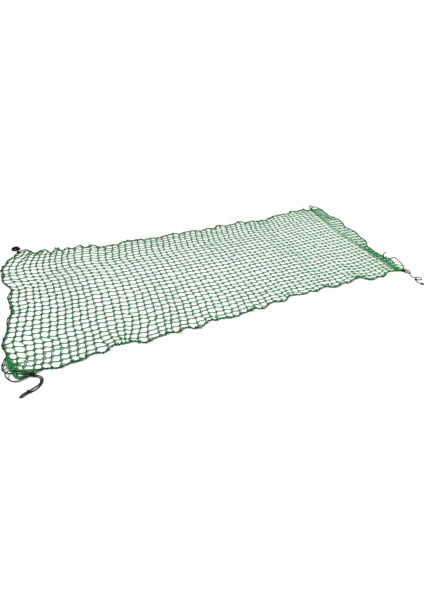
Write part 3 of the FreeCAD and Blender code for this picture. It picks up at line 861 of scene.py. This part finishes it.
    def wind_legs(self, side, edge, rope_out):
        """Winds each leg between two edge knots once round the rope, where the rope is near."""
        knots = self.knots[edge]
        between = (knots[:-1] + knots[1:]) / 2
        rope, along = self.borders[side].nearest(between)
        close = np.linalg.norm((between - rope)[:, :2], axis=-1) < WINDING_REACH[side]
        run = knots[1:] - knots[:-1]
        along = along * np.sign((along * run).sum(-1, keepdims=True))
        away = np.array(OUTWARD[side], float)
        aside = unit(away - along * (along @ away)[:, None])
        outer = rope + aside * rope_out
        outer[:, 2] = ROPE_HEIGHT - 0.001
        over = rope - along * (WIND_LENGTH / 2)
        over[:, 2] = ROPE_HEIGHT + rope_out
        under = rope + along * (WIND_LENGTH / 2)
        under[:, 2] = self.sizes.twine_dia / 2 + 0.0001
        first = tuple(slice(None, -1) if isinstance(e, slice) else e for e in edge)
        second = tuple(slice(1, None) if isinstance(e, slice) else e for e in edge)
        before, after = ("left", "right") if side in ("near", "far") else ("near", "far")
        for leg, place, bend in ((after, first, over), (before, second, under)):
            for table, places in ((self.middle, outer), (self.heading, along), (self.half, bend)):
                table[leg][place] = np.where(close[:, None], places, table[leg][place])

    def chains(self, columns):
        """Centre lines of the bights and wraps of some columns, from mid leg to mid leg."""
        found = []
        for body, (enter, leave) in ((self.bights, ("left", "near")), (self.wraps, ("far", "right"))):
            line = np.concatenate([
                self.middle[enter][columns][..., None, :], self.half[enter][columns][..., None, :],
                body[columns],
                self.half[leave][columns][..., None, :], self.middle[leave][columns][..., None, :],
            ], axis=-2)
            first = self.heading[enter][columns]
            last = self.heading[leave][columns]
            # A bight comes in at the left and a wrap goes out at the right, as headings point
            if enter == "far":
                first = -first
            if leave == "near":
                last = -last
            found.append((rounded(line.reshape(-1, line.shape[-2], 3)),
                          first.reshape(-1, 3), last.reshape(-1, 3)))
        return found


def twine_loops(centres, axes, radius, twine_radius, turns=12, sides=6):
    """Closed loops of twine round the rope, one at each centre."""
    level = unit(np.cross(axes, UP))
    upright = np.cross(level, axes)
    angles = np.arange(turns) / turns * 2 * math.pi
    outward = (np.cos(angles)[None, :, None] * level[:, None]
               + np.sin(angles)[None, :, None] * upright[:, None])
    around = np.arange(sides) / sides * 2 * math.pi
    points = (centres[:, None, None] + outward[:, :, None] * (
        radius[:, None, None, None] + twine_radius * np.cos(around)[None, None, :, None])
        - axes[:, None, None] * twine_radius * np.sin(around)[None, None, :, None])
    travelled = angles[None] * radius[:, None]
    return skin(points, travelled, closed_loop=True)


# Pieces

def settings(context):
    return context.scene.climbing_net


def netting(context):
    """The netting's knots and legs, worked out once for all the pieces that need them."""
    if netting.made is None:
        netting.made = Netting(settings(context).sizes)
    return netting.made


netting.made = None


class NET_OT_netting(bpy.types.Operator):
    """Netting: two strands of twine at each knot, in seven bands across the net"""
    bl_idname = "net.netting"
    bl_label = "Netting"

    def execute(self, context):
        net = netting(context)
        chosen = settings(context)
        material = twine_material(chosen.colours)
        for band in range(BANDS):
            first = band * COLUMNS_PER_BAND
            last = min(first + COLUMNS_PER_BAND, COLUMNS)
            columns = slice(first, last)
            column, row = np.meshgrid(np.arange(first, last), np.arange(ROWS), indexing="ij")
            ends = ((column == 0, row == 0), (row == ROWS - 1, column == COLUMNS - 1))
            skins = []
            for (line, head, tail), (open_first, open_last) in zip(net.chains(columns), ends):
                points, travelled = sweep(line, chosen.sizes.twine_dia / 2, 6, head, tail)
                skins.append(skin(points, travelled, open_first.ravel(), open_last.ravel()))
            replaced = [f"crosswise_twines_{band + 1}", f"lengthwise_twines_{band + 1}"]
            replaced = [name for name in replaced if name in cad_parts]
            make_piece(f"netting_band_{band + 1}", skins, material, "netting_twine", "net", *replaced)
        return {"FINISHED"}


# Share of the edge knots that have a second turn of twine, on each side
SECOND_TURNS = {"near": 0.5, "far": 0.5, "left": 0.15, "right": 0.5}
CLEAR_OF_ENDS = 0.028  # length at a rope's two ends that is left to the corner knots
LOOP_GAP = 0.0017  # from the rope's side to the middle of a tight loop's twine


def leaning(headings, angle):
    """Level headings turned about the upright by an angle each."""
    axes = headings.copy()
    axes[:, 0] = headings[:, 0] * np.cos(angle) - headings[:, 1] * np.sin(angle)
    axes[:, 1] = headings[:, 0] * np.sin(angle) + headings[:, 1] * np.cos(angle)
    return unit(axes)


class NET_OT_edge_loops(bpy.types.Operator):
    """Edge loops: crossed turns of twine that hold the border rope at every edge knot"""
    bl_idname = "net.edge_loops"
    bl_label = "Edge loops"

    def execute(self, context):
        net = netting(context)
        chosen = settings(context)
        sizes = chosen.sizes
        material = twine_material(chosen.colours)
        random = np.random.RandomState(sizes.seed + 11)
        tight = sizes.rope_dia / 2 + LOOP_GAP
        for side, (centres, headings) in net.loop_places.items():
            skins = []
            border = net.borders[side].line
            clear = np.ones(len(centres), bool)
            for end in (border[0], border[-1]):
                clear &= np.linalg.norm(centres - end, axis=1) > CLEAR_OF_ENDS
            centres, headings = centres[clear], headings[clear]
            for lean, share in ((0.42, 1.0), (-0.42, SECOND_TURNS[side])):
                shown = random.rand(len(centres)) <= share
                axes = leaning(headings[shown], lean + random.normal(size=shown.sum()) * 0.12)
                radius = tight + random.rand(shown.sum()) * 0.0003
                skins.append(twine_loops(centres[shown], axes, radius, 0.0020))
            # Slack loops that stand up here and there along the rope
            slack_loops = round(len(centres) * 2 * SECOND_TURNS[side])
            chosen_points = random.randint(9, len(border) - 9, size=slack_loops)
            centres = border[chosen_points].copy()
            headings = unit(border[chosen_points + 1] - border[chosen_points - 1])
            spare = random.rand(len(centres)) ** 1.5 * 0.0050
            radius = tight + 0.0004 + spare
            outward = unit(np.cross(headings, UP))
            outward *= np.sign((outward * OUTWARD[side]).sum(-1, keepdims=True))
            centres += outward * spare[:, None] * random.uniform(-0.3, 1.0, size=(len(centres), 1))
            centres[:, 2] = np.maximum(centres[:, 2], radius + 0.0022)
            axes = leaning(headings, random.normal(size=len(centres)) * 0.5)
            skins.append(twine_loops(centres, axes, radius, 0.0021))
            make_piece(f"{side}_edge_loops", skins, material, "netting_twine", "net",
                       f"{side}_edge_meshes")
        return {"FINISHED"}


# Slack meshes bunched at the near-left corner: the line of the bunch, its half width along
# that line, and how many strands and knots show in it
BUNCH_LINE = [
    (-1.546, -0.505), (-1.536, -0.550), (-1.522, -0.595), (-1.508, -0.640), (-1.494, -0.682),
    (-1.470, -0.700), (-1.422, -0.696),
]
BUNCH_WIDTHS = (0.003, 0.010, 0.013, 0.011, 0.009, 0.007, 0.002)
BUNCH_STRANDS = 6
BUNCH_KNOTS = 6


class NET_OT_gather(bpy.types.Operator):
    """Gather: slack meshes that lie bunched under the rope at the near-left corner"""
    bl_idname = "net.gather"
    bl_label = "Gather"

    def execute(self, context):
        net = netting(context)
        chosen = settings(context)
        random = np.random.RandomState(chosen.sizes.seed + 23)
        radius = chosen.sizes.twine_dia / 2
        spine = route_line(BUNCH_LINE, 0.005)[:, :2]
        count = len(spine)
        steps = np.linspace(0, 1, count)
        width = np.interp(steps, np.linspace(0, 1, len(BUNCH_WIDTHS)), BUNCH_WIDTHS)
        across = np.array((0.80, 0.60))
        paths = []
        for side in np.linspace(-1, 1, BUNCH_STRANDS):
            wave = 0.45 * np.sin(steps * random.uniform(5, 11) + random.uniform(0, 6.3))
            height = 0.0032 + 0.008 * random.rand() * np.abs(np.sin(2 * math.pi * steps))
            flat = spine + np.outer((side + wave) * width, across)
            paths.append(np.column_stack([flat, height]))
        paths = np.array(paths)
        skins = [skin(*sweep(paths, radius, 6))]
        # Knots, each on a strand
        picks = np.linspace(6, count - 8, BUNCH_KNOTS).astype(int)
        places = paths[np.arange(BUNCH_KNOTS) % BUNCH_STRANDS, picks]
        places[:, 2] += 0.002
        lean = random.uniform(0, math.pi, size=BUNCH_KNOTS)
        for plan in (BIGHT, WRAP):
            skins.append(skin(*sweep(rounded(net.at_knot(plan, places, lean)), radius, 6)))
        make_piece("near_left_bunch", skins, twine_material(chosen.colours), "netting_twine", "net")
        return {"FINISHED"}


class NET_OT_border_ropes(bpy.types.Operator):
    """Border ropes: three-strand laid rope along the four sides, laced through the edge meshes"""
    bl_idname = "net.border_ropes"
    bl_label = "Border ropes"

    def execute(self, context):
        chosen = settings(context)
        sizes = chosen.sizes
        material = rope_material(chosen.colours)
        sides = {
            "near": NEAR_CORNER_TURN + NEAR_ROPE,
            "far": FAR_ROPE,
            "left": LEFT_ROPE,
            "right": RIGHT_ROPE,
        }
        for side, route in sides.items():
            line = route_line(route, sizes.rope_step)
            skins = laid_rope(line, sizes.rope_dia, sizes.rope_lay, sealed=(False, False))
            make_piece(f"{side}_border_rope", skins, material, "border_rope", "net",
                       f"{side}_edge_rope")
        return {"FINISHED"}


# The body that each rope knot moves with, and the angle that it is turned to
KNOTS = {
    "near_left_knot": ("net", 0.3), "near_right_knot": ("net", 1.4),
    "far_left_knot": ("net", 2.0), "far_right_knot": ("net", 0.9),
    "right_join_knot": ("net", 0.2), "far_edge_hitch": ("net", 1.7),
    "near_left_tail_knot": ("near_left_tail_end", 1.0),
    "near_right_slip_knot": ("near_right_tail_end", 0.5),
    "near_right_end_knot": ("near_right_tail_end", 1.9),
    "far_right_tail_knot": ("far_right_tail_end", 0.1),
}
# The corner knots have one more turn round them, this wide against the knot
WRAPPED_KNOTS = {
    "near_left_knot": 1.08, "near_right_knot": 1.08, "far_left_knot": 0.98, "far_right_knot": 0.98,
}


class NET_OT_knots(bpy.types.Operator):
    """Knots: overhand turns of the border rope at the corners, the joins and the rope ends"""
    bl_idname = "net.knots"
    bl_label = "Knots"

    def execute(self, context):
        chosen = settings(context)
        sizes = chosen.sizes
        material = rope_material(chosen.colours)
        half_rope = sizes.rope_dia * 0.5
        for node, (body, turn) in KNOTS.items():
            low, high = (np.array(corner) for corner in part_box(node))
            middle = (low + high) / 2
            reach = (high - low) / 2 - half_rope
            wide = (reach[0] + reach[1]) / 2 / 3
            t = np.linspace(0, 2 * math.pi, 110) + math.pi / 6
            plan = np.stack([np.sin(t) + 2 * np.sin(2 * t), np.cos(t) - 2 * np.cos(2 * t)], axis=1)
            spin = np.array([[math.cos(turn), math.sin(turn)], [-math.sin(turn), math.cos(turn)]])
            line = np.empty((len(t), 3))
            line[:, :2] = middle[:2] + (plan @ spin) * wide
            line[:, 2] = middle[2] - np.sin(3 * t) * reach[2]
            skins = laid_rope(line, sizes.rope_dia, sizes.rope_lay, sealed=(False, False))
            if node in WRAPPED_KNOTS:
                # One turn round the knot's waist, a little askew, that the tail comes out of
                t = np.linspace(0, 2 * math.pi, 60)
                waist_reach = reach * WRAPPED_KNOTS[node]
                waist = middle + np.stack([waist_reach[0] * np.cos(t), waist_reach[1] * np.sin(t),
                                           np.sin(t + turn) * 0.0015], axis=1)
                skins += laid_rope(waist, sizes.rope_dia, sizes.rope_lay, sealed=(False, False))
            make_piece(f"tied_{node}", skins, material, "border_rope", body, node)
        return {"FINISHED"}


def free_end(context, name, route, body, replaced, far_end):
    """One free end of the rope: a cord of laid rope, with a melted tip when its far end is bare."""
    chosen = settings(context)
    sizes = chosen.sizes
    line = route_line(route, sizes.rope_step)
    tip_shows = far_end == "bare"
    skins = laid_rope(line, sizes.rope_dia, sizes.rope_lay, sealed=(False, tip_shows))
    piece = make_piece(name, skins, rope_material(chosen.colours), "border_rope", body, *replaced)
    return piece


class NET_OT_rope_ends(bpy.types.Operator):
    """Rope ends: the loose tails at the near corners and the far-right corner, and the spare ends"""
    bl_idname = "net.rope_ends"
    bl_label = "Rope ends"

    def execute(self, context):
        free_end(context, "near_left_tail_outer_rope", NEAR_LEFT_TAIL_OUTER,
                 "near_left_tail_end", ["near_left_tail_outer"], "bare")
        free_end(context, "near_left_tail_inner_rope", NEAR_LEFT_TAIL_INNER,
                 "near_left_tail_end", ["near_left_tail_inner"], "bare")
        free_end(context, "near_right_tail_rope", NEAR_RIGHT_TAIL,
                 "near_right_tail_end", ["near_right_tail"], "bare")
        free_end(context, "far_right_tail_rope", FAR_RIGHT_TAIL,
                 "far_right_tail_end", ["far_right_tail"], "knot")
        free_end(context, "far_spare_end_rope", FAR_SPARE_END, "net",
                 ["far_edge_spare_end"], "bare")
        free_end(context, "join_end_long_rope", JOIN_END_LONG, "net", ["join_end_long"], "bare")
        free_end(context, "join_end_short_rope", JOIN_END_SHORT, "net", ["join_end_short"], "bare")
        return {"FINISHED"}


# The hank at the far-left corner: radius and height of each turn, laid beside and on each other
HANK_MIDDLE = (-1.532, 0.735)
HANK_TURNS = [
    (0.0300, 0.0032), (0.0236, 0.0034), (0.0172, 0.0036),
    (0.0206, 0.0090), (0.0270, 0.0092), (0.0238, 0.0148),
]


class NET_OT_hank(bpy.types.Operator):
    """Hank: the far-left tail, a short lead and the rope's spare length wound in loose turns"""
    bl_idname = "net.hank"
    bl_label = "Hank"

    def execute(self, context):
        route = list(FAR_LEFT_LEAD)
        per_turn = 14
        count = per_turn * len(HANK_TURNS)
        for step in range(1, count):
            angle = -math.pi / 2 - 0.15 - step / per_turn * 2 * math.pi
            place = max(0.0, (step - per_turn / 2) / per_turn)
            radius = np.interp(place, range(len(HANK_TURNS)), [turn[0] for turn in HANK_TURNS])
            height = np.interp(place, range(len(HANK_TURNS)), [turn[1] for turn in HANK_TURNS])
            sink = max(0.0, 1 - step / 6) * 0.006
            oval = 1 + 0.09 * math.cos(2 * angle - 0.6) + 0.03 * math.sin(0.85 * angle + 1.0)
            oval = oval - max(0.0, 1 - step / 5) * 0.12
            route.append((HANK_MIDDLE[0] + radius * oval * math.cos(angle),
                          HANK_MIDDLE[1] + radius * oval * math.sin(angle),
                          height + sink))
        free_end(context, "far_left_hank_rope", route, "far_left_tail_end",
                 ["far_left_tail", "far_left_coil"], "bare")
        return {"FINISHED"}


class NET_OT_stage(bpy.types.Operator):
    """Stage: a plain pale floor, soft studio lights and the camera"""
    bl_idname = "net.stage"
    bl_label = "Stage"

    def execute(self, context):
        chosen = settings(context)
        scene = context.scene
        size = 200.0
        mesh = bpy.data.meshes.new("floor")
        corners = [(-size, -size, 0), (size, -size, 0), (size, size, 0), (-size, size, 0)]
        mesh.from_pydata(corners, [], [(0, 1, 2, 3)])
        mesh.materials.append(floor_material(chosen.colours))
        floor = bpy.data.objects.new("floor", mesh)
        scene.collection.objects.link(floor)
        sun = bpy.data.lights.new("key_light", "SUN")
        sun.energy = 3.2
        sun.angle = math.radians(18)
        lamp = bpy.data.objects.new("key_light", sun)
        lamp.rotation_euler = Vector((0.75, -0.35, -1.0)).to_track_quat("-Z", "Y").to_euler()
        scene.collection.objects.link(lamp)
        lamps = {
            "left_softbox": ((-3.2, 1.4, 2.6), (-0.4, 0.0, 0.0), 1.8, 14.0),
            "right_softbox": ((2.6, -2.8, 2.8), (0.6, 0.0, 0.0), 2.4, 10.0),
        }
        for name, (place, aim, width, power) in lamps.items():
            light = bpy.data.lights.new(name, "AREA")
            light.size = width
            light.energy = power
            lamp = bpy.data.objects.new(name, light)
            lamp.location = place
            lamp.rotation_euler = (Vector(aim) - Vector(place)).to_track_quat("-Z", "Y").to_euler()
            scene.collection.objects.link(lamp)
        scene.world = studio_world()
        scene.view_settings.view_transform = "Standard"
        lens = bpy.data.cameras.new("camera")
        lens.sensor_width = 36.0
        lens.lens = 18.634
        lens.clip_end = 500.0
        camera = bpy.data.objects.new("camera", lens)
        right = Vector((0.91344373, -0.40408529, 0.04832825))
        up = Vector((0.22747783, 0.60543611, 0.76269323))
        back = Vector((-0.33745278, -0.68568374, 0.64495226))
        turn = Matrix((right, up, back)).transposed().to_4x4()
        camera.matrix_world = Matrix.Translation((-0.99656, -2.00968, 1.45701)) @ turn
        scene.collection.objects.link(camera)
        scene.camera = camera
        return {"FINISHED"}


BUILDERS = (NET_OT_knots, NET_OT_rope_ends, NET_OT_hank, NET_OT_border_ropes,
            NET_OT_netting, NET_OT_edge_loops, NET_OT_gather, NET_OT_stage)


class NET_PT_panel(bpy.types.Panel):
    """The net's sizes and colours, and a button for each group of pieces"""
    bl_idname = "NET_PT_panel"
    bl_label = "Cargo climbing net"
    bl_space_type = "VIEW_3D"
    bl_region_type = "UI"
    bl_category = "Net"

    def draw(self, context):
        chosen = settings(context)
        for group in (chosen.sizes, chosen.colours):
            box = self.layout.box()
            for name in group.__annotations__:
                box.prop(group, name)
        for builder in BUILDERS:
            self.layout.operator(builder.bl_idname)


CLASSES = (NetSizes, NetColours, NetSettings, *BUILDERS, NET_PT_panel)


def register():
    for cls in CLASSES:
        bpy.utils.register_class(cls)
    bpy.types.Scene.climbing_net = bpy.props.PointerProperty(type=NetSettings)


def unregister():
    del bpy.types.Scene.climbing_net
    for cls in reversed(CLASSES):
        bpy.utils.unregister_class(cls)


def main():
    register()
    bpy.ops.net.stage()
    bpy.ops.net.knots()
    bpy.ops.net.rope_ends()
    bpy.ops.net.hank()
    bpy.ops.net.border_ropes()
    bpy.ops.net.netting()
    bpy.ops.net.edge_loops()
    bpy.ops.net.gather()


if __name__ == "__main__":
    main()
